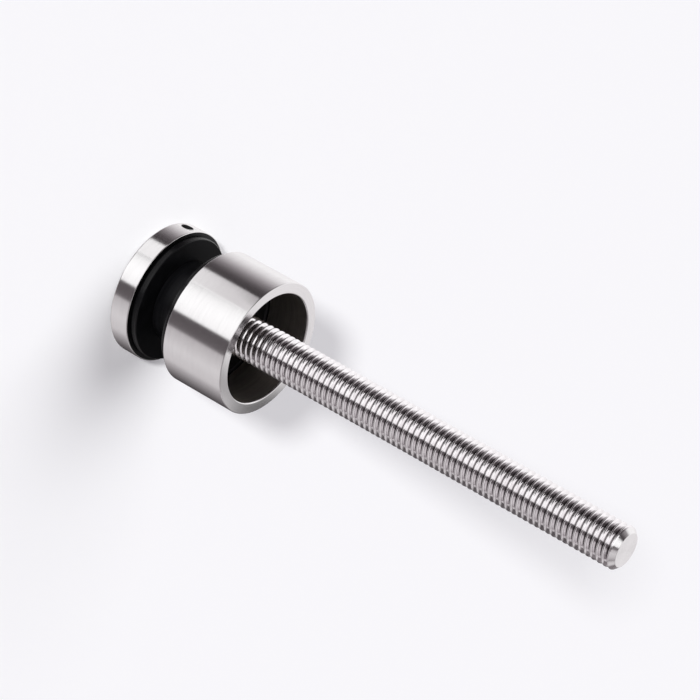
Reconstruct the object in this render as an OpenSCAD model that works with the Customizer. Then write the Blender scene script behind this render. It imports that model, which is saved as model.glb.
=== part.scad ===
// Point fixing that holds a glass panel off a wall.
// It stands on the flat front face of its cap, with the stud pointing up along +Z.
// The origin is the centre of that face.

/* [Stud] */
// Nominal diameter of the metric thread
thread_d = 12; // [8:0.5:16]
// Pitch of the thread
pitch = 1.75; // [1.25:0.05:2.5]
// Length of the threaded stud
stud_len = 153; // [60:1:240]
// Width of the bevel on each end of the stud
stud_bevel = 0.9; // [0.3:0.1:1.5]

/* [Cap] */
// Outside diameter shared by the cap and the barrel
head_d = 38; // [34:0.5:60]
// Thickness of the cap
cap_t = 6; // [4.5:0.5:12]
// Metal left between the stud's end and the front face of the cap
cap_front_t = 1.5; // [1:0.1:2.5]
// Bevel round the front edge of the cap
cap_bevel = 0.4; // [0.1:0.1:1]
// Diameter of the tommy-bar hole in the edge of the cap
bar_hole_d = 3; // [2:0.5:4]
// Depth of the tommy-bar hole
bar_hole_depth = 6; // [3:0.5:8]

/* [Glass seat] */
// Outside diameter of the two rubber gaskets
gasket_d = 35.4; // [28:0.2:38]
// Thickness of each gasket
gasket_t = 2; // [1:0.5:3]
// Rounding of the gaskets' outer edges
gasket_round = 0.35; // [0.1:0.05:0.45]
// Outside diameter of the sleeve that fills the hole in the glass
sleeve_d = 22.8; // [18:0.2:26]
// Length of the sleeve, which is the gap kept for the glass
glass_gap = 9; // [6:0.5:20]
// Bevel on both outer edges of the sleeve
sleeve_bevel = 0.4; // [0.1:0.1:1]

/* [Barrel] */
// Length of the barrel
barrel_len = 20; // [14:0.5:60]
// Thickness of the barrel's tubular wall
barrel_wall = 3.2; // [2:0.1:5]
// Thickness of the tapped floor of the barrel
floor_t = 6; // [4:0.5:10]
// Bevel on the metal edges of the barrel and the back of the cap
edge_bevel = 0.25; // [0.1:0.05:0.5]
// Radius of the tool corner at the bottom of the barrel's hollow
hollow_fillet = 0.8; // [0.2:0.1:2]

/* [Fits] */
// Gap by which the stud's crests fall short of the nominal thread
crest_gap = 0.06; // [0.02:0.01:0.08]
// Gap between the stud's crests and the loose pieces strung on it
loose_gap = 0.3; // [0.2:0.05:0.6]
// Bevel at the mouth of each tapped hole
mouth_bevel = 0.6; // [0.2:0.1:1.2]

/* [Hidden] */
$fn = 96;
CUT = 1;                                          // how far a cutter runs past its face

head_r = head_d / 2;
gasket_r = gasket_d / 2;
sleeve_r = sleeve_d / 2;
tapped_r = thread_d / 2;
crest_r = tapped_r - crest_gap;
loose_r = crest_r + loose_gap;
hollow_r = head_r - barrel_wall;

// Proportions of the 60 degree metric thread
thread_depth = 0.6134 * pitch;
crest_flat = pitch / 8;
flank_run = thread_depth * tan(30);
root_flat = pitch - crest_flat - 2 * flank_run;
root_r = crest_r - thread_depth;

// Heights of the stacked pieces
stud_z = cap_front_t;
sleeve_z = cap_t + gasket_t;
back_gasket_z = sleeve_z + glass_gap;
barrel_z = back_gasket_z + gasket_t;

STEEL = [0.74, 0.73, 0.74];
BRIGHT_STEEL = [0.82, 0.81, 0.82];
BLACK_RUBBER = [0.05, 0.05, 0.055];
BLACK_NYLON = [0.09, 0.09, 0.095];

// Half section of a plain turned disc or tube, from height 0, with bevels on its outer edges.
module turned_blank(r, len, low_bevel, high_bevel) {
    polygon([
        [0, 0],
        [r - low_bevel, 0],
        [r, low_bevel],
        [r, len - high_bevel],
        [r - high_bevel, len],
        [0, len],
    ]);
}

// A tapped hole from the face at height 0 downwards, with its bevelled mouth.
module tapped_hole(depth) {
    translate([0, 0, -depth])
        cylinder(h = depth + CUT, r = tapped_r);
    mouth();
}

// The bevelled mouth of a tapped hole, in a face at height 0 that looks up.
module mouth() {
    translate([0, 0, -mouth_bevel])
        cylinder(
            h = mouth_bevel + CUT,
            r1 = tapped_r,
            r2 = tapped_r + mouth_bevel + CUT
        );
}

// Clamp disc: blind tapped hole at the back and one radial hole for a tommy bar.
module cap() {
    color(STEEL)
        difference() {
            rotate_extrude()
                turned_blank(head_r, cap_t, cap_bevel, edge_bevel);
            translate([0, 0, cap_t])
                tapped_hole(cap_t - cap_front_t);
            translate([head_r - bar_hole_depth, 0, cap_t / 2])
                rotate([0, 90, 0])
                    cylinder(h = bar_hole_depth + CUT, d = bar_hole_d);
        }
}

// Flat rubber ring with rounded outer edges, standing on height 0.
module gasket_ring() {
    rotate_extrude()
        union() {
            translate([loose_r, 0])
                square([gasket_r - gasket_round - loose_r, gasket_t]);
            translate([gasket_r - 2 * gasket_round, gasket_round])
                square([2 * gasket_round, gasket_t - 2 * gasket_round]);
            for (y = [gasket_round, gasket_t - gasket_round])
                translate([gasket_r - gasket_round, y])
                    circle(r = gasket_round);
        }
}

module cap_gasket() {
    color(BLACK_RUBBER)
        translate([0, 0, cap_t])
            gasket_ring();
}

module barrel_gasket() {
    color(BLACK_RUBBER)
        translate([0, 0, back_gasket_z])
            gasket_ring();
}

// Thick nylon bush that keeps the stud off the edge of the hole in the glass.
module glass_sleeve() {
    color(BLACK_NYLON)
        translate([0, 0, sleeve_z])
            rotate_extrude()
                difference() {
                    turned_blank(sleeve_r, glass_gap, sleeve_bevel, sleeve_bevel);
                    translate([0, -CUT])
                        square([loose_r, glass_gap + 2 * CUT]);
                }
}

// Half section of the barrel's hollow, from its floor up, with the tool corner and bevelled rim.
module hollow_section() {
    depth = barrel_len - floor_t;
    union() {
        square([hollow_r - hollow_fillet, depth]);
        translate([0, hollow_fillet])
            square([hollow_r, depth - hollow_fillet + CUT]);
        translate([hollow_r - hollow_fillet, hollow_fillet])
            circle(r = hollow_fillet);
        translate([0, depth - edge_bevel])
            polygon([
                [0, 0],
                [hollow_r, 0],
                [hollow_r + edge_bevel + CUT, edge_bevel + CUT],
                [0, edge_bevel + CUT],
            ]);
    }
}

// Turned cup that screws along the stud: tapped floor by the glass, open rim by the wall.
module barrel() {
    color(STEEL)
        translate([0, 0, barrel_z])
            difference() {
                rotate_extrude()
                    turned_blank(head_r, barrel_len, edge_bevel, edge_bevel);
                translate([0, 0, floor_t])
                    rotate_extrude()
                        hollow_section();
                translate([0, 0, floor_t])
                    tapped_hole(floor_t + CUT);
                mirror([0, 0, 1])
                    mouth();
            }
}

// Half section of the thread, with grooves at the pitch that run past both ends of the stud.
module thread_section() {
    turns = ceil(stud_len / pitch);
    polygon(concat(
        [[0, -pitch]],
        [
            for (i = [-1 : turns], corner = [
                [root_r, -root_flat / 2],
                [root_r, root_flat / 2],
                [crest_r, root_flat / 2 + flank_run],
                [crest_r, root_flat / 2 + flank_run + crest_flat],
            ]) [corner[0], corner[1] + i * pitch]
        ],
        [[0, (turns + 1) * pitch]]
    ));
}

// Fully threaded stud. Its thread is drawn as rings at the pitch, so the stud stays a turned solid.
module threaded_stud() {
    color(BRIGHT_STEEL)
        translate([0, 0, stud_z])
            rotate_extrude()
                intersection() {
                    turned_blank(crest_r, stud_len, stud_bevel, stud_bevel);
                    thread_section();
                }
}

cap();
cap_gasket();
glass_sleeve();
barrel_gasket();
barrel();
threaded_stud();
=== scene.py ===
"""Glass panel standoff, dressed over its CAD frame.

Run as a script it makes the cap, the gaskets, the sleeve, the barrel, the threaded stud and a
pale studio stage. All lengths are in metres. +Z runs up the stud from the cap, which stands on
the floor.
"""

import math

import bmesh
import bpy
import numpy as np
from bpy.props import FloatProperty, FloatVectorProperty, IntProperty, PointerProperty
from bpy.types import Operator, Panel, PropertyGroup
from mathutils import Matrix, Quaternion, Vector


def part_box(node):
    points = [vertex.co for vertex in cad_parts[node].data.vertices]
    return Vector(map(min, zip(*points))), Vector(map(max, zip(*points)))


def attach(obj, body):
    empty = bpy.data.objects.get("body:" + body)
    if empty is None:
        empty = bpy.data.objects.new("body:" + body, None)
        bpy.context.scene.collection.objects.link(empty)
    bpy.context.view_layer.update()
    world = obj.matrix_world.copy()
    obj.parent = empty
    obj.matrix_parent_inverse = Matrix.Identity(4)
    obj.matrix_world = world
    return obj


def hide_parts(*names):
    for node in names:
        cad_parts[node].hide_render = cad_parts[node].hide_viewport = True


bl_info = {
    "name": "Glass Panel Standoff",
    "version": (1, 0, 0),
    "blender": (4, 5, 0),
    "location": "View3D > Sidebar > Standoff",
    "description": "Makes a turned steel standoff for a glass panel, with its studio stage",
    "category": "Add Mesh",
}

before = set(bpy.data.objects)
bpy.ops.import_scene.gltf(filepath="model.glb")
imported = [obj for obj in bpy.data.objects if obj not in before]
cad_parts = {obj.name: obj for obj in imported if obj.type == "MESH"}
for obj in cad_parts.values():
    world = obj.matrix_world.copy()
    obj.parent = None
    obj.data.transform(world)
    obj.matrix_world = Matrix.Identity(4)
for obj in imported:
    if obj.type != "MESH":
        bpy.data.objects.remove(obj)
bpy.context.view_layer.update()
MM = 0.001

# Proportions of the 60 degree metric thread, as shares of its pitch.
THREAD_DEPTH = 0.6134
THREAD_CREST = 0.125
FLANK_ANGLE = math.radians(30.0)
# A flank's bulge stands out square to it: its parts outwards and along the stud.
BULGE_OUT, BULGE_ALONG = 0.5, 0.866


def mm(value, name, description):
    """A length property with its default given in millimetres."""
    return FloatProperty(
        name=name, description=description, default=value * MM, min=0.0, unit="LENGTH", precision=5
    )


def tone(value, name, description):
    """A colour property."""
    return FloatVectorProperty(
        name=name, description=description, default=value, size=3, min=0.0, max=1.0, subtype="COLOR"
    )


class StandoffSizes(PropertyGroup):
    """Sizes that the CAD boxes don't give."""

    pitch: mm(1.75, "Pitch", "Distance between neighbouring threads")
    crest_round: mm(0.1, "Crest rounding", "Rounding on the edges of each thread crest")
    root_round: mm(0.14, "Root rounding", "Rounding at the foot of each thread flank")
    flank_bulge: mm(0.04, "Flank bulge", "Height by which each thread flank curves outwards")
    stud_bevel: mm(0.9, "Stud bevel", "Bevel on the end of the stud inside the cap")
    tip_bevel: mm(1.3, "Tip bevel", "Bevel on the wall end of the stud")
    tip_round: mm(0.081, "Tip rounding", "Rounding between the tip's bevel and its end face")
    thread_start: mm(0.33, "Thread start", "Height by which the helix starts below the stud")
    run_out: mm(1.5, "Run-out", "Length at the wall end over which the groove is closed")
    run_out_dip: mm(0.12, "Run-out dip", "Depth of the closed groove below the crests")
    thread_steps: IntProperty(
        name="Steps per turn", description="Facets round one turn of thread", default=64, min=12
    )
    tapped_radius: mm(6.0, "Tapped radius", "Radius of the holes that take the stud")
    tapped_mouth: mm(0.6, "Tapped mouth", "Bevel at the mouth of a tapped hole")
    loose_radius: mm(6.24, "Loose radius", "Radius of the holes in the gaskets and the sleeve")
    cap_front: mm(1.5, "Cap front", "Metal between the stud and the front face of the cap")
    cap_edge: mm(0.4, "Cap edge", "Rounding of the front edge of the cap")
    metal_edge: mm(0.25, "Metal edge", "Rounding of the other outer metal edges")
    bar_hole_radius: mm(1.5, "Bar hole radius", "Radius of the tommy-bar hole")
    bar_hole_depth: mm(6.0, "Bar hole depth", "Depth of the tommy-bar hole")
    bar_hole_flare: mm(0.25, "Bar hole flare", "Bevel at the mouth of the tommy-bar hole")
    bar_hole_steps: IntProperty(
        name="Bar hole steps", description="Facets round the tommy-bar hole", default=48, min=12
    )
    gasket_edge: mm(0.35, "Gasket edge", "Rounding of the outer edges of a gasket")
    gasket_rib: mm(0.07, "Gasket rib", "Height of the moulded ribs round a gasket's edge")
    rib_spacing: mm(0.336, "Rib spacing", "Distance between neighbouring ribs")
    sleeve_edge: mm(0.4, "Sleeve edge", "Rounding of the outer edges of the sleeve")
    end_gap: mm(0.02, "End gap", "Gap between the sleeve and the gasket at each end")
    barrel_wall: mm(3.2, "Barrel wall", "Thickness of the barrel's tubular wall")
    barrel_floor: mm(6.0, "Barrel floor", "Thickness of the barrel's tapped floor")
    barrel_fillet: mm(0.8, "Barrel fillet", "Tool corner at the bottom of the barrel's hollow")
    barrel_rim: mm(0.45, "Barrel rim", "Rounding of the inner edge of the open rim")
    lathe_steps: IntProperty(
        name="Lathe steps", description="Facets round a turned piece", default=288, min=24
    )


class StandoffColours(PropertyGroup):
    """Colours of the metals, the rubber, the nylon and the stage."""

    brushed: tone((0.82, 0.81, 0.815), "Brushed steel", "Crests of the brushed lines")
    brushed_low: tone((0.79, 0.778, 0.784), "Brushed steel, low", "Troughs of the brushed lines")
    # Painted shade: a darkened tone for the barrel's hollow; its dull roughness is the turned
    # finish.
    bore_shade: tone((0.42, 0.39, 0.36), "Bore shade", "Dull metal left by the boring tool")
    # Painted shade: near-black for the holes, the barrel's floor and the cap's back face beside the
    # gasket.
    shade_black: tone((0.03, 0.03, 0.032), "Painted shade black", "Drilled hole and hidden faces")
    bright: tone((0.905, 0.885, 0.898), "Bright steel", "Rolled thread")
    bright_low: tone((0.83, 0.805, 0.82), "Bright steel, low", "Rolling marks on the thread")
    # Painted shade: a darker tone for the roots of the thread.
    groove: tone((0.2, 0.185, 0.19), "Thread groove", "Dulled metal at the root of the thread")
    rubber: tone((0.003, 0.003, 0.0034), "Rubber", "Gaskets")
    nylon: tone((0.003, 0.003, 0.0035), "Nylon", "Sleeve")
    floor: tone((0.95, 0.957, 0.963), "Floor", "Pale floor")
    backdrop: tone((0.935, 0.935, 0.95), "Backdrop", "Background beyond the floor")


def sizes():
    return bpy.context.scene.standoff_sizes


def colours():
    return bpy.context.scene.standoff_colours


def heights(node):
    """Outer radius, lowest height and highest height of a turned CAD node."""
    low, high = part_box(node)
    return high.x, low.z, high.z


# Shader building


class Shader:
    """A material or a world with its node tree, built from short calls."""

    def __init__(self, name, kind="materials"):
        self.owner = getattr(bpy.data, kind).new(name)
        self.owner.use_nodes = True
        self.tree = self.owner.node_tree
        self.tree.nodes.clear()

    def add(self, kind, inputs=(), **settings):
        """Adds a node. Inputs are (socket, value or output) pairs, settings are its properties."""
        node = self.tree.nodes.new(kind)
        for key, value in settings.items():
            setattr(node, key, value)
        for socket, value in inputs:
            if isinstance(value, bpy.types.NodeSocket):
                self.tree.links.new(value, node.inputs[socket])
            else:
                node.inputs[socket].default_value = value
        return node

    def math(self, operation, a, b=0.0):
        return self.add("ShaderNodeMath", [(0, a), (1, b)], operation=operation).outputs[0]

    def vector(self, operation, a, b=(0.0, 0.0, 0.0), output=0):
        node = self.add("ShaderNodeVectorMath", [(0, a), (1, b)], operation=operation)
        return node.outputs[output]

    def turned_lines(self, around, across):
        """A vector that runs fast across the lines a lathe leaves, and slowly round the piece.

        around is in cells per radian and across in cells per metre. It has no seam, because the
        slow part goes by the direction from the axis and not by an angle.
        """
        place = self.add("ShaderNodeTexCoord").outputs["Object"]
        outward = self.vector("MULTIPLY", place, (1.0, 1.0, 0.0))
        radius = self.vector("LENGTH", outward, output="Value")
        slow = self.vector("SCALE", self.vector("NORMALIZE", outward))
        slow.node.inputs["Scale"].default_value = around
        height = self.add("ShaderNodeSeparateXYZ", [(0, place)]).outputs["Z"]
        fast = self.math("MULTIPLY", self.math("ADD", height, radius), across)
        lift = self.add("ShaderNodeCombineXYZ", [("Z", fast)]).outputs[0]
        return self.vector("ADD", slow, lift)

    def noise(self, vector, scale=1.0, detail=2.0, roughness=0.5):
        return self.add(
            "ShaderNodeTexNoise",
            [("Vector", vector), ("Scale", scale), ("Detail", detail), ("Roughness", roughness)],
        ).outputs["Fac"]

    def spread(self, value, low, high, from_low=0.3, from_high=0.7):
        """Maps a value to the range from low to high. The defaults suit a noise."""
        return self.add(
            "ShaderNodeMapRange",
            [("Value", value), (1, from_low), (2, from_high), (3, low), (4, high)],
        ).outputs[0]

    def rise(self, value, start, end):
        """Goes from 0 to 1 while the value goes from start to end."""
        return self.spread(value, 0.0, 1.0, start, end)

    def blend(self, factor, low, high):
        """Mixes two colours, each a value or an output."""
        mix = self.add("ShaderNodeMix", [("Factor", factor)], data_type="RGBA")
        for socket, colour in ((6, low), (7, high)):
            if isinstance(colour, bpy.types.NodeSocket):
                self.tree.links.new(colour, mix.inputs[socket])
            else:
                mix.inputs[socket].default_value = (*colour, 1.0)
        return mix.outputs[2]

    def bump(self, height, distance, strength=1.0, normal=None):
        inputs = [("Height", height), ("Distance", distance), ("Strength", strength)]
        if normal:
            inputs.append(("Normal", normal))
        return self.add("ShaderNodeBump", inputs).outputs[0]

    def principled(self, **sockets):
        """Ends the tree with a Principled shader, whose sockets are named with underscores."""
        pairs = [(key.replace("_", " "), value) for key, value in sockets.items()]
        return self.finish(self.add("ShaderNodeBsdfPrincipled", pairs))

    def glow(self, colour):
        """Ends the tree with plain light of a colour, which isn't sampled as a lamp is."""
        self.owner.cycles.emission_sampling = "NONE"
        return self.finish(self.add("ShaderNodeEmission", [("Color", colour)]))

    def finish(self, shader, output="ShaderNodeOutputMaterial"):
        """Links a shader node to the output and returns the material or world."""
        self.add(output, [("Surface", shader.outputs[0])])
        return self.owner


def brushed_steel():
    """Satin stainless steel with fine lines round the axis, as an abrasive belt leaves it."""
    shade = Shader("brushed_stainless")
    fine = shade.noise(shade.turned_lines(around=2.2, across=5200.0), detail=3.0, roughness=0.65)
    streaks = shade.noise(shade.turned_lines(around=3.5, across=1300.0), roughness=0.6)
    lines = shade.math(
        "ADD", shade.math("MULTIPLY", fine, 0.6), shade.math("MULTIPLY", streaks, 0.4)
    )
    return shade.principled(
        Base_Color=shade.blend(
            shade.rise(lines, 0.38, 0.6), colours().brushed_low, colours().brushed
        ),
        Metallic=1.0,
        Roughness=shade.spread(lines, 0.2, 0.15),
        Anisotropic=0.9,
        Anisotropic_Rotation=0.25,
        Tangent=shade.add("ShaderNodeTangent", direction_type="RADIAL", axis="Z").outputs[0],
        Normal=shade.bump(streaks, 0.004 * MM, 0.5, shade.bump(fine, 0.002 * MM, 0.5)),
    )


def dull_steel(name, colour):
    """Dull turned steel for the holes. The colour it is given is painted shade."""
    shade = Shader(name)
    lines = shade.noise(shade.turned_lines(around=1.5, across=3000.0), roughness=0.6)
    dark = tuple(0.8 * part for part in colour)
    return shade.principled(
        Base_Color=shade.blend(shade.rise(lines, 0.3, 0.7), dark, colour),
        Metallic=1.0,
        Roughness=shade.spread(lines, 0.55, 0.4),
        Normal=shade.bump(lines, 0.01 * MM, 0.8),
    )


def rolled_thread():
    """Bright stainless steel with the flow marks of thread rolling, and painted shade that darkens
    the thread's root.
    """
    shade = Shader("rolled_thread")
    marks = shade.noise(shade.turned_lines(around=6.0, across=7000.0), detail=3.0, roughness=0.6)
    place = shade.add("ShaderNodeTexCoord").outputs["Object"]
    patches = shade.noise(place, scale=520.0, detail=4.0, roughness=0.65)
    outward = shade.vector("MULTIPLY", place, (1.0, 1.0, 0.0))
    radius = shade.vector("LENGTH", outward, output="Value")
    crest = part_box("threaded_stud")[1].x
    depth = THREAD_DEPTH * sizes().pitch
    metal = shade.blend(shade.rise(patches, 0.38, 0.6), colours().bright_low, colours().bright)
    # Painted shade: the metal darkens towards the root of the thread.
    clear_of_root = shade.rise(radius, crest - depth, crest - 0.8 * depth)
    return shade.principled(
        Base_Color=shade.blend(clear_of_root, colours().groove, metal),
        Metallic=1.0,
        Roughness=shade.spread(marks, 0.13, 0.07),
        Normal=shade.bump(patches, 0.06 * MM, 0.4, shade.bump(marks, 0.004 * MM, 0.4)),
    )


def black_rubber(name, shine, smoothness):
    """Moulded rubber, nearly black, with a soft grain and the odd dusty patch.

    Shine is its specular level, and smoothness is taken off its roughness and its grain.
    """
    shade = Shader(name)
    place = shade.add("ShaderNodeTexCoord").outputs["Object"]
    grain = shade.noise(place, scale=3800.0, roughness=0.6)
    dust = shade.noise(place, scale=260.0, detail=4.0, roughness=0.65)
    dusty = tuple(2.0 * part for part in colours().rubber)
    return shade.principled(
        Base_Color=shade.blend(shade.rise(dust, 0.45, 0.75), colours().rubber, dusty),
        Roughness=shade.spread(dust, 0.4 - smoothness, 0.55 - smoothness),
        Specular_IOR_Level=shine,
        Normal=shade.bump(grain, 0.012 * MM, 0.5 - smoothness),
    )


def black_nylon():
    """Satin black nylon with faint turning lines."""
    shade = Shader("black_nylon")
    lines = shade.noise(shade.turned_lines(around=1.0, across=2600.0))
    worn = tuple(1.9 * part for part in colours().nylon)
    return shade.principled(
        Base_Color=shade.blend(shade.rise(lines, 0.4, 0.7), colours().nylon, worn),
        Roughness=shade.spread(lines, 0.3, 0.42),
        Specular_IOR_Level=0.14,
        Normal=shade.bump(lines, 0.008 * MM, 0.4),
    )


# Turning


def half_section(profile, closed, segments):
    """A bmesh of edges from a list of (radius, height, rounding), with its corners rounded."""
    bm = bmesh.new()
    corners = [bm.verts.new((radius, 0.0, height)) for radius, height, _ in profile]
    for corner, following in zip(corners, corners[1:] + corners[:1] * closed):
        bm.edges.new((corner, following))
    for corner, (_, _, rounding) in zip(corners, profile):
        if rounding:
            bmesh.ops.bevel(
                bm,
                geom=[corner],
                offset=rounding,
                offset_type="OFFSET",
                segments=segments,
                profile=0.5,
                affect="VERTICES",
                material=-1,
            )
    return bm


def lathe(profile, closed, steps):
    """Turns a half section, which is a list of (radius, height, rounding), round Z."""
    bm = half_section(profile, closed, segments=4)
    bmesh.ops.spin(
        bm,
        geom=[*bm.verts, *bm.edges],
        cent=(0.0, 0.0, 0.0),
        axis=(0.0, 0.0, 1.0),
        angle=math.tau,
        steps=steps,
        use_merge=True,
    )
    bmesh.ops.remove_doubles(bm, verts=bm.verts, dist=1e-7)
    bmesh.ops.dissolve_degenerate(bm, edges=bm.edges, dist=1e-8)
    bmesh.ops.recalc_face_normals(bm, faces=bm.faces)
    return bm


def make_piece(name, bm, materials):
    """Puts a bmesh into a linked object with its materials."""
    mesh = bpy.data.meshes.new(name)
    bm.to_mesh(mesh)
    bm.free()
    for material in materials:
        mesh.materials.append(material)
    piece = bpy.data.objects.new(name, mesh)
    bpy.context.scene.collection.objects.link(piece)
    return piece


def apply_modifiers(piece):
    """Replaces the mesh by what its modifiers make of it."""
    shaped = bpy.data.meshes.new_from_object(
        piece.evaluated_get(bpy.context.evaluated_depsgraph_get())
    )
    piece.modifiers.clear()
    piece.data = shaped
    shaped.name = piece.name


def smooth_flats(piece):
    """Smooth shading that keeps flat faces flat beside their rounded edges."""
    piece.data.polygons.foreach_set("use_smooth", [True] * len(piece.data.polygons))
    weigh = piece.modifiers.new("flat faces", "WEIGHTED_NORMAL")
    weigh.weight = 100
    weigh.keep_sharp = True
    apply_modifiers(piece)


def boolean(piece, cutter, operation):
    """Cuts a piece with a closed cutter, or keeps what they share, and removes the cutter."""
    cut = piece.modifiers.new("cut", "BOOLEAN")
    cut.object = cutter
    cut.operation = operation
    cut.solver = "MANIFOLD"
    cut.material_mode = "TRANSFER"
    apply_modifiers(piece)
    bpy.data.objects.remove(cutter)


def hand_over(piece, node, body):
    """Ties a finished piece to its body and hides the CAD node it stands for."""
    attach(piece, body)
    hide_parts(node)


def paint_faces(bm, index, inner=-math.inf, outer=math.inf, low=-math.inf, high=math.inf):
    """Gives a material index to the faces whose centre lies between two radii and two heights."""
    for face in bm.faces:
        centre = face.calc_center_median()
        if inner < math.hypot(centre.x, centre.y) < outer and low < centre.z < high:
            face.material_index = index


class STANDOFF_OT_cap(Operator):
    """Make the clamp cap with its tommy-bar hole"""

    bl_idname = "standoff.cap"
    bl_label = "Cap"

    def execute(self, context):
        size = sizes()
        radius, low, high = heights("cap")
        tapped = size.tapped_radius
        bm = lathe(
            [
                (0.0, low, 0.0),
                (radius, low, size.cap_edge),
                (radius, high, size.metal_edge),
                (tapped + size.tapped_mouth, high, 0.0),
                (tapped, high - size.tapped_mouth, 0.0),
                (tapped, low + size.cap_front, 0.0),
                (0.0, low + size.cap_front, 0.0),
            ],
            closed=False,
            steps=size.lathe_steps,
        )
        # The tapped hole and the back face, which lies under the gasket, are painted black: painted
        # shade, which shows on the back face's rim beside the gasket.
        edge = size.metal_edge
        paint_faces(bm, 1, outer=tapped, low=low + 0.5 * size.cap_front)
        paint_faces(bm, 1, outer=radius - edge, low=high - 0.5 * edge)
        shade_black = dull_steel("painted_shade_steel", colours().shade_black)
        cap = make_piece("clamp_cap", bm, [brushed_steel(), shade_black])
        smooth_flats(cap)
        depth, hole, flare = size.bar_hole_depth, size.bar_hole_radius, size.bar_hole_flare
        drill = lathe(
            [
                (0.0, 0.0, 0.0),
                (hole, 0.0, 0.0),
                (hole, depth - flare, 0.0),
                (hole + flare, depth, 0.0),
                (hole + flare + MM, depth + MM, 0.0),
                (0.0, depth + MM, 0.0),
            ],
            closed=False,
            steps=size.bar_hole_steps,
        )
        turn = Matrix.Rotation(math.pi / 2, 4, "Y")
        place = Matrix.Translation((radius - depth, 0.0, 0.5 * (low + high)))
        bmesh.ops.transform(drill, matrix=place @ turn, verts=drill.verts)
        # The drill's black goes onto the walls of the tommy-bar hole as painted shade.
        boolean(cap, make_piece("bar_hole_drill", drill, [shade_black]), "DIFFERENCE")
        round_side(cap, radius)
        hand_over(cap, "cap", "cap")
        return {"FINISHED"}


def round_side(piece, radius):
    """Sets true round normals on the outer wall, which a cut would otherwise dent."""
    mesh = piece.data
    mesh.set_sharp_from_angle(angle=math.radians(30.0))
    normals = np.zeros(len(mesh.loops) * 3)
    mesh.corner_normals.foreach_get("vector", normals)
    normals = normals.reshape(-1, 3)
    owner = np.zeros(len(mesh.loops), dtype=int)
    mesh.loops.foreach_get("vertex_index", owner)
    places = np.zeros(len(mesh.vertices) * 3)
    mesh.vertices.foreach_get("co", places)
    places = places.reshape(-1, 3)[owner]
    outward = places * (1.0, 1.0, 0.0)
    reach = np.linalg.norm(outward, axis=1)
    outward /= np.maximum(reach, 1e-9)[:, None]
    side = (reach > radius - 1e-6) & ((normals * outward).sum(1) > 0.98)
    normals[side] = outward[side]
    mesh.normals_split_custom_set(normals.tolist())


def gasket_profile(node):
    """Half section of a gasket: rounded edges and fine moulded ribs on its outer wall."""
    size = sizes()
    radius, low, high = heights(node)
    edge, rib = size.gasket_edge, size.gasket_rib
    wall = radius - rib
    profile = [(size.loose_radius, low, 0.0), (wall, low, edge)]
    middle = 0.5 * (low + high)
    for place in (-1, 0, 1):
        height = middle + place * size.rib_spacing
        profile += [(wall, height - rib, 0.0), (radius, height, 0.0), (wall, height + rib, 0.0)]
    return profile + [(wall, high, edge), (size.loose_radius, high, 0.0)]


class STANDOFF_OT_gaskets(Operator):
    """Make the rubber gaskets on both sides of the glass"""

    bl_idname = "standoff.gaskets"
    bl_label = "Gaskets"

    def execute(self, context):
        rubber = black_rubber("black_rubber", 0.045, 0.0)
        skin = black_rubber("rubber_edge", 0.25, 0.27)
        for node, body in (("cap_gasket", "cap"), ("barrel_gasket", "back_gasket")):
            bm = lathe(gasket_profile(node), closed=True, steps=sizes().lathe_steps)
            wall = heights(node)[0] - sizes().gasket_edge
            paint_faces(bm, 1, inner=wall)
            piece = make_piece(node.replace("gasket", "seal"), bm, [rubber, skin])
            smooth_flats(piece)
            hand_over(piece, node, body)
        return {"FINISHED"}


class STANDOFF_OT_sleeve(Operator):
    """Make the nylon sleeve that fills the hole in the glass"""

    bl_idname = "standoff.sleeve"
    bl_label = "Sleeve"

    def execute(self, context):
        size = sizes()
        radius, low, high = heights("glass_sleeve")
        bm = lathe(
            [
                (size.loose_radius, low + size.end_gap, 0.0),
                (radius, low + size.end_gap, size.sleeve_edge),
                (radius, high - size.end_gap, size.sleeve_edge),
                (size.loose_radius, high - size.end_gap, 0.0),
            ],
            closed=True,
            steps=size.lathe_steps,
        )
        piece = make_piece("glass_bush", bm, [black_nylon()])
        smooth_flats(piece)
        hand_over(piece, "glass_sleeve", "sleeve")
        return {"FINISHED"}


class STANDOFF_OT_barrel(Operator):
    """Make the turned barrel with its open rim"""

    bl_idname = "standoff.barrel"
    bl_label = "Barrel"

    def execute(self, context):
        size = sizes()
        radius, low, high = heights("barrel")
        hollow = radius - size.barrel_wall
        floor = low + size.barrel_floor
        tapped, mouth = size.tapped_radius, size.tapped_mouth
        bm = lathe(
            [
                (radius, low, size.metal_edge),
                (radius, high, size.metal_edge),
                (hollow, high, size.barrel_rim),
                (hollow, floor, size.barrel_fillet),
                (tapped + mouth, floor, 0.0),
                (tapped, floor - mouth, 0.0),
                (tapped, low + mouth, 0.0),
                (tapped + mouth, low, 0.0),
            ],
            closed=True,
            steps=size.lathe_steps,
        )
        # The hollow's wall up to the rim is darkened as painted shade, and its floor and tapped
        # hole are painted black as deeper shade.
        touch = 0.01 * MM
        rim, corner = high - 1.2 * size.barrel_rim, floor + 1.5 * size.barrel_fillet
        paint_faces(bm, 1, outer=hollow + touch, low=low + touch, high=rim)
        paint_faces(bm, 2, outer=hollow + touch, low=low + touch, high=corner)
        hollow_shade = dull_steel("painted_shade_bore", colours().bore_shade)
        shade_black = dull_steel("painted_shade_steel", colours().shade_black)
        piece = make_piece("wall_barrel", bm, [brushed_steel(), hollow_shade, shade_black])
        smooth_flats(piece)
        hand_over(piece, "barrel", "barrel")
        return {"FINISHED"}


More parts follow.
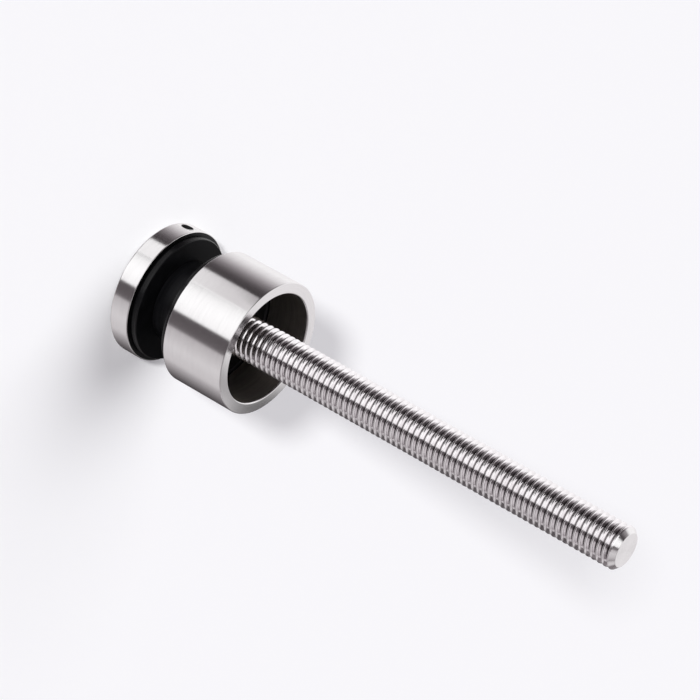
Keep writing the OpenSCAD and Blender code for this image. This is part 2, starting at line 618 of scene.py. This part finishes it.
def screw_thread(crest, low, high):
    """A closed right-hand helical thread whose ends run past the given heights."""
    size = sizes()
    pitch = size.pitch
    depth = THREAD_DEPTH * pitch
    root = crest - depth
    crest_start = 0.5 * pitch * (1.0 - THREAD_CREST)
    root_end = crest_start - depth * math.tan(FLANK_ANGLE)
    middle = crest - 0.5 * depth + BULGE_OUT * size.flank_bulge
    middle_height = 0.5 * (root_end + crest_start) - BULGE_ALONG * size.flank_bulge
    profile = [
        (root, 0.0, 0.0),
        (root, root_end, size.root_round),
        (middle, middle_height, 0.0),
        (crest, crest_start, size.crest_round),
        (crest, pitch - crest_start, size.crest_round),
        (middle, pitch - middle_height, 0.0),
        (root, pitch - root_end, size.root_round),
        (root, pitch, 0.0),
    ]
    bm = half_section(profile, closed=False, segments=2)
    bmesh.ops.spin(
        bm,
        geom=[*bm.verts, *bm.edges],
        cent=(0.0, 0.0, 0.0),
        axis=(0.0, 0.0, 1.0),
        dvec=(0.0, 0.0, pitch / size.thread_steps),
        angle=math.tau,
        steps=size.thread_steps,
    )
    # One turn is doubled until the thread is long enough.
    turns, needed = 1, math.ceil((high - low) / pitch) + 4
    while turns < needed:
        copy = bmesh.ops.duplicate(bm, geom=[*bm.verts, *bm.edges, *bm.faces])["geom"]
        moved = [part for part in copy if isinstance(part, bmesh.types.BMVert)]
        bmesh.ops.translate(bm, verts=moved, vec=(0.0, 0.0, turns * pitch))
        turns *= 2
    start = low - 2 * pitch - size.thread_start
    bmesh.ops.translate(bm, verts=bm.verts, vec=(0.0, 0.0, start))
    bmesh.ops.remove_doubles(bm, verts=bm.verts, dist=1e-6)
    spare = 0.3 * pitch
    for height, up in ((low - spare, -1.0), (high + spare, 1.0)):
        bmesh.ops.bisect_plane(
            bm,
            geom=[*bm.verts, *bm.edges, *bm.faces],
            plane_co=(0.0, 0.0, height),
            plane_no=(0.0, 0.0, up),
            clear_outer=True,
        )
    bmesh.ops.holes_fill(bm, edges=[edge for edge in bm.edges if edge.is_boundary], sides=0)
    bmesh.ops.recalc_face_normals(bm, faces=bm.faces)
    return bm


class STANDOFF_OT_stud(Operator):
    """Make the stud with its helical thread"""

    bl_idname = "standoff.stud"
    bl_label = "Threaded stud"

    def execute(self, context):
        size = sizes()
        crest, low, high = heights("threaded_stud")
        rolled = rolled_thread()
        stud = make_piece("stud_thread", screw_thread(crest, low, high), [rolled])
        # A plain core closes the groove over the stud's last turn.
        plain, start = crest - size.run_out_dip, high - size.run_out
        run_out = lathe(
            [
                (0.0, start - MM, 0.0),
                (plain - MM, start - MM, 0.0),
                (plain, start, 0.0),
                (plain, high + MM, 0.0),
                (0.0, high + MM, 0.0),
            ],
            closed=False,
            steps=size.thread_steps,
        )
        boolean(stud, make_piece("thread_run_out", run_out, [rolled]), "UNION")
        # The blank is a little wider than the crests, so that it cuts only the two ends.
        past = 0.05 * MM
        bevel, tip = size.stud_bevel + past, size.tip_bevel + past
        blank = lathe(
            [
                (0.0, low, 0.0),
                (crest + past - bevel, low, 0.0),
                (crest + past, low + bevel, 0.0),
                (crest + past, high - tip, 0.0),
                (crest + past - tip, high, size.tip_round),
                (0.0, high, 0.0),
            ],
            closed=False,
            steps=size.thread_steps,
        )
        boolean(stud, make_piece("stud_blank", blank, [brushed_steel()]), "INTERSECT")
        stud.data.set_sharp_from_angle(angle=math.radians(38.0))
        smooth_flats(stud)
        hand_over(stud, "threaded_stud", "stud")
        return {"FINISHED"}


# Stage

FLOOR_RADIUS = 12.0
TENT_RADIUS = 6.0

# The camera's place and the point it looks at in metres, its roll in degrees and its lens in mm.
CAMERA_AT = (0.244207, 0.616049, 0.425343)
CAMERA_AIM = (0.009451, -0.003580, 0.060522)
CAMERA_ROLL = 118.964
CAMERA_LENS = 150.53

# Lamps as (name, direction that the light comes from, strength, width in degrees). The key draws
# the stud's long shadow and the fill the soft one beside the cap.
LAMPS = (
    ("key_lamp", (0.362, 0.853, 0.375), 2.83, 5.0),
    ("fill_lamp", (0.48, -0.224, 0.848), 1.64, 46.0),
)
SKY_COLOUR = (0.96, 0.88, 1.0, 1.0)
SKY_STRENGTH = 0.22


def linear(level):
    """Linear light for a display level between 0 and 1."""
    return ((level + 0.055) / 1.055) ** 2.4


# Panels of the light tent by direction round Z, as (degrees from +X, display level in the steel).
# Two stops close together are the sharp edge between two panels.
SIDE_PANELS = (
    (0, 0.24),
    (30, 0.22),
    (32, 0.97),
    (62, 1.0),
    (85.5, 0.96),
    (88.5, 0.31),
    (112, 0.37),
    (115, 0.7),
    (145, 0.81),
    (165, 0.77),
    (185, 0.7),
    (205, 0.58),
    (225, 0.43),
    (241, 0.43),
    (252, 0.86),
    (288, 0.93),
    (309, 0.84),
    (325, 0.64),
    (335, 0.47),
    (347, 0.29),
)
HIGH_PANELS = (
    (0, 0.22),
    (42, 0.22),
    (55, 0.84),
    (80, 0.84),
    (95, 0.22),
    (112, 0.22),
    (160, 0.5),
    (180, 0.8),
    (198, 0.78),
    (208, 0.42),
    (222, 0.5),
    (236, 0.86),
    (262, 0.86),
    (285, 0.95),
    (312, 0.93),
    (330, 0.28),
)
# Grey of the steel, which the panels' light is divided by so that it shows at the level given.
STEEL_GREY = 0.79
# The tent by the Z of a direction: the side ring goes over into the high ring in the first band,
# and the high ring in the second into the crown, which has the side ring's panels again.
HIGH_BAND = (-0.2, 0.15)
CROWN_BAND = (0.62, 0.74)
# Part of the side ring leans: it is turned by up to this share of a turn either way over the
# band. It does so between the two angles, which are shares of a turn from -X.
LEAN = 16.0 / 360.0
LEAN_BAND = (-0.77, -0.26)
LEAN_FROM = (0.464, 0.5)
LEAN_TO = (0.672, 0.722)


def tinted(level):
    """Linear colour that the steel shows at a display level. Darker ones are a little purple."""
    light = linear(level) / STEEL_GREY
    return light, light * (0.82 + 0.18 * level), light * (0.9 + 0.1 * level)


def panel_ramp(shade, angle, panels):
    """A colour ramp over the angle round Z, for one ring of tent panels."""
    ramp = shade.add("ShaderNodeValToRGB", [(0, angle)])
    stops = sorted(((degrees + 180.0) % 360.0 / 360.0, level) for degrees, level in panels)
    elements = ramp.color_ramp.elements
    while len(elements) < len(stops):
        elements.new(0.5)
    for element, (position, level) in zip(elements, stops):
        element.position = position
        element.color = (*tinted(level), 1.0)
    return ramp.outputs["Color"]


def tent_material():
    """Fabric of the light tent: a ring of panels at the sides, one above it and a crown."""
    shade = Shader("light_tent")
    place = shade.add("ShaderNodeTexCoord").outputs["Object"]
    parts = shade.add("ShaderNodeSeparateXYZ", [(0, shade.vector("NORMALIZE", place))])
    up = parts.outputs["Z"]
    turn = shade.math("ARCTAN2", parts.outputs["Y"], parts.outputs["X"])
    angle = shade.math("ADD", shade.math("DIVIDE", turn, math.tau), 0.5)
    starts = shade.rise(angle, *LEAN_FROM)
    stays = shade.spread(angle, 1.0, 0.0, *LEAN_TO)
    lean = shade.math("MULTIPLY", starts, stays)
    lean = shade.math("MULTIPLY", shade.spread(up, -LEAN, LEAN, *LEAN_BAND), lean)
    side = panel_ramp(shade, shade.math("ADD", angle, lean), SIDE_PANELS)
    high = panel_ramp(shade, angle, HIGH_PANELS)
    rings = shade.blend(shade.rise(up, *HIGH_BAND), side, high)
    return shade.glow(shade.blend(shade.rise(up, *CROWN_BAND), rings, side))


# Two upright cards that only reflections see: their angles round Z and their gaps to the barrel.
SHADE_ANGLE, SHADE_GAP = math.radians(203.0), 1.5 * MM
BOUNCE_ANGLE, BOUNCE_GAP = math.radians(17.0), 41.0 * MM
# Light that the shade card lets through at its darkest, round the barrel and along the stud.
POOL_DARK, LINE_DARK = 0.42, 0.5
# Display level of the bounce card at its foot and at its top.
BOUNCE_LOW, BOUNCE_HIGH = 0.94, 0.74


def card_axes(angle):
    """Directions of an upright card: away from the object, and sideways."""
    away = Vector((math.cos(angle), math.sin(angle), 0.0))
    return away, Vector((away.y, -away.x, 0.0))


def card_place(shade, angle):
    """Sideways distance and height of a point on a card."""
    place = shade.add("ShaderNodeTexCoord").outputs["Object"]
    sideways = shade.vector("DOT_PRODUCT", place, card_axes(angle)[1], output="Value")
    return sideways, shade.add("ShaderNodeSeparateXYZ", [(0, place)]).outputs["Z"]


def shade_material():
    """A soft grey shape like the shadow of the object on a table, clear at its edges."""
    shade = Shader("shade_card")
    radius, _, high = heights("barrel")
    sideways, height = card_place(shade, SHADE_ANGLE)
    # Distance from the darkest place. It grows fast past the barrel's rim and slowly below the cap.
    above = shade.math("MAXIMUM", shade.math("SUBTRACT", height, high), 0.0)
    below = shade.math("MAXIMUM", shade.math("MULTIPLY", height, -0.5), 0.0)
    past = shade.math("ADD", shade.math("MULTIPLY", above, 2.5), below)
    aside = shade.math("SUBTRACT", sideways, 0.16 * radius)
    reach = shade.add("ShaderNodeCombineXYZ", [(0, past), (1, aside)]).outputs[0]
    reach = shade.vector("LENGTH", reach, output="Value")
    # The pool lies round the barrel and the line runs along the stud.
    pool = shade.spread(reach, POOL_DARK, 1.0, 0.32 * radius, 1.5 * radius)
    pool.node.interpolation_type = "SMOOTHSTEP"
    off_axis = shade.math("ABSOLUTE", sideways)
    line = shade.spread(off_axis, LINE_DARK, 1.0, 0.1 * radius, 0.6 * radius)
    clear = shade.math("MULTIPLY", pool, line)
    return shade.finish(shade.add("ShaderNodeBsdfTransparent", [(0, clear)]))


def bounce_material():
    """A glowing white card that gets dimmer upwards: a painted reflection that only the steel sees.
    """
    shade = Shader("bounce_card")
    radius = heights("barrel")[0]
    height = card_place(shade, BOUNCE_ANGLE)[1]
    up = shade.rise(height, -radius, 0.8 * radius)
    return shade.glow(shade.blend(up, tinted(BOUNCE_LOW), tinted(BOUNCE_HIGH)))


def make_card(name, angle, distance, span, rise, material):
    """An upright card: span and rise are its limits sideways and upwards."""
    away, sideways = card_axes(angle)
    bm = bmesh.new()
    corners = ((0, 0), (1, 0), (1, 1), (0, 1))
    bm.faces.new(
        bm.verts.new(away * distance + sideways * span[i] + Vector((0.0, 0.0, rise[j])))
        for i, j in corners
    )
    return make_piece(name, bm, [material])


def make_cards():
    """The shade card on the shadow side and the white bounce card on the other."""
    radius = heights("barrel")[0]
    top = heights("threaded_stud")[2]
    shade_card = make_card(
        "shade_card",
        SHADE_ANGLE,
        radius + SHADE_GAP,
        span=(-2 * radius, 2 * radius),
        rise=(-2 * radius, top),
        material=shade_material(),
    )
    bounce_card = make_card(
        "bounce_card",
        BOUNCE_ANGLE,
        radius + BOUNCE_GAP,
        span=(-1.23 * radius, 0.27 * radius),
        rise=(-3 * radius, 0.9 * radius),
        material=bounce_material(),
    )
    return shade_card, bounce_card


def make_floor():
    """A wide round sheet of pale paper that reflections don't see."""
    bm = bmesh.new()
    bmesh.ops.create_circle(bm, cap_ends=True, segments=96, radius=FLOOR_RADIUS)
    paper = Shader("floor_paper").principled(
        Base_Color=(*colours().floor, 1.0), Roughness=0.9, Specular_IOR_Level=0.0
    )
    floor = make_piece("floor", bm, [paper])
    floor.visible_glossy = False
    return floor


def make_tent():
    """A ball round everything, with the panels of the light tent on it."""
    bm = bmesh.new()
    bmesh.ops.create_icosphere(bm, subdivisions=4, radius=TENT_RADIUS)
    return make_piece("light_tent", bm, [tent_material()])


def sky():
    """An even world. Camera, glossy and transmitted rays see the backdrop's own tone."""
    shade = Shader("studio", "worlds")
    fill = shade.add("ShaderNodeBackground", [("Color", SKY_COLOUR), ("Strength", SKY_STRENGTH)])
    seen = shade.add("ShaderNodeBackground", [("Color", (*colours().backdrop, 1.0))])
    ray = shade.add("ShaderNodeLightPath").outputs
    sees = shade.math("MAXIMUM", ray["Is Camera Ray"], ray["Is Glossy Ray"])
    sees = shade.math("MAXIMUM", sees, ray["Is Transmission Ray"])
    mix = shade.add(
        "ShaderNodeMixShader", [(0, sees), (1, fill.outputs[0]), (2, seen.outputs[0])]
    )
    bpy.context.scene.world = shade.finish(mix, "ShaderNodeOutputWorld")


def set_camera():
    """Looks down the stud from its wall end, rolled so that the stud runs to the lower right."""
    camera = bpy.data.objects.new("camera", bpy.data.cameras.new("camera"))
    bpy.context.scene.collection.objects.link(camera)
    camera.data.lens = CAMERA_LENS
    camera.data.clip_start, camera.data.clip_end = 0.01, 20.0
    camera.location = CAMERA_AT
    sight = (Vector(CAMERA_AIM) - Vector(CAMERA_AT)).to_track_quat("-Z", "Y")
    roll = Quaternion((0.0, 0.0, 1.0), math.radians(CAMERA_ROLL))
    camera.rotation_mode = "QUATERNION"
    camera.rotation_quaternion = sight @ roll
    bpy.context.scene.camera = camera


def make_lamp(name, source, energy, degrees):
    """A far lamp that shines from a direction, as wide as an angle. The steel doesn't mirror it."""
    lamp = bpy.data.objects.new(name, bpy.data.lights.new(name, "SUN"))
    bpy.context.scene.collection.objects.link(lamp)
    lamp.data.energy = energy
    lamp.data.angle = math.radians(degrees)
    lamp.visible_glossy = False
    lamp.rotation_mode = "QUATERNION"
    lamp.rotation_quaternion = (-Vector(source)).to_track_quat("-Z", "Y")


class STANDOFF_OT_stage(Operator):
    """Make the floor, the light tent, the cards, the lamps, the sky and the camera"""

    bl_idname = "standoff.stage"
    bl_label = "Stage"

    def execute(self, context):
        floor = make_floor()
        unseen = (make_tent(), *make_cards())
        for thing in unseen:
            for ray in ("camera", "diffuse", "transmission", "shadow", "volume_scatter"):
                setattr(thing, f"visible_{ray}", False)
        for lamp in LAMPS:
            make_lamp(*lamp)
        sky()
        set_camera()
        context.scene.view_settings.view_transform = "Standard"
        return {"FINISHED"}


class STANDOFF_PT_panel(Panel):
    """Sizes, colours and pieces of the standoff"""

    bl_idname = "STANDOFF_PT_panel"
    bl_label = "Glass Panel Standoff"
    bl_space_type = "VIEW_3D"
    bl_region_type = "UI"
    bl_category = "Standoff"

    def draw(self, context):
        for group in (context.scene.standoff_sizes, context.scene.standoff_colours):
            box = self.layout.box()
            for key in group.__annotations__:
                box.prop(group, key)
        for piece in PIECES:
            self.layout.operator(piece.bl_idname)


PIECES = (
    STANDOFF_OT_stage,
    STANDOFF_OT_cap,
    STANDOFF_OT_gaskets,
    STANDOFF_OT_sleeve,
    STANDOFF_OT_barrel,
    STANDOFF_OT_stud,
)
CLASSES = (StandoffSizes, StandoffColours, *PIECES, STANDOFF_PT_panel)


def register():
    for cls in CLASSES:
        bpy.utils.register_class(cls)
    bpy.types.Scene.standoff_sizes = PointerProperty(type=StandoffSizes)
    bpy.types.Scene.standoff_colours = PointerProperty(type=StandoffColours)


def unregister():
    del bpy.types.Scene.standoff_colours
    del bpy.types.Scene.standoff_sizes
    for cls in reversed(CLASSES):
        bpy.utils.unregister_class(cls)


def main():
    register()
    bpy.ops.standoff.stage()
    bpy.ops.standoff.cap()
    bpy.ops.standoff.gaskets()
    bpy.ops.standoff.sleeve()
    bpy.ops.standoff.barrel()
    bpy.ops.standoff.stud()


if __name__ == "__main__":
    main()
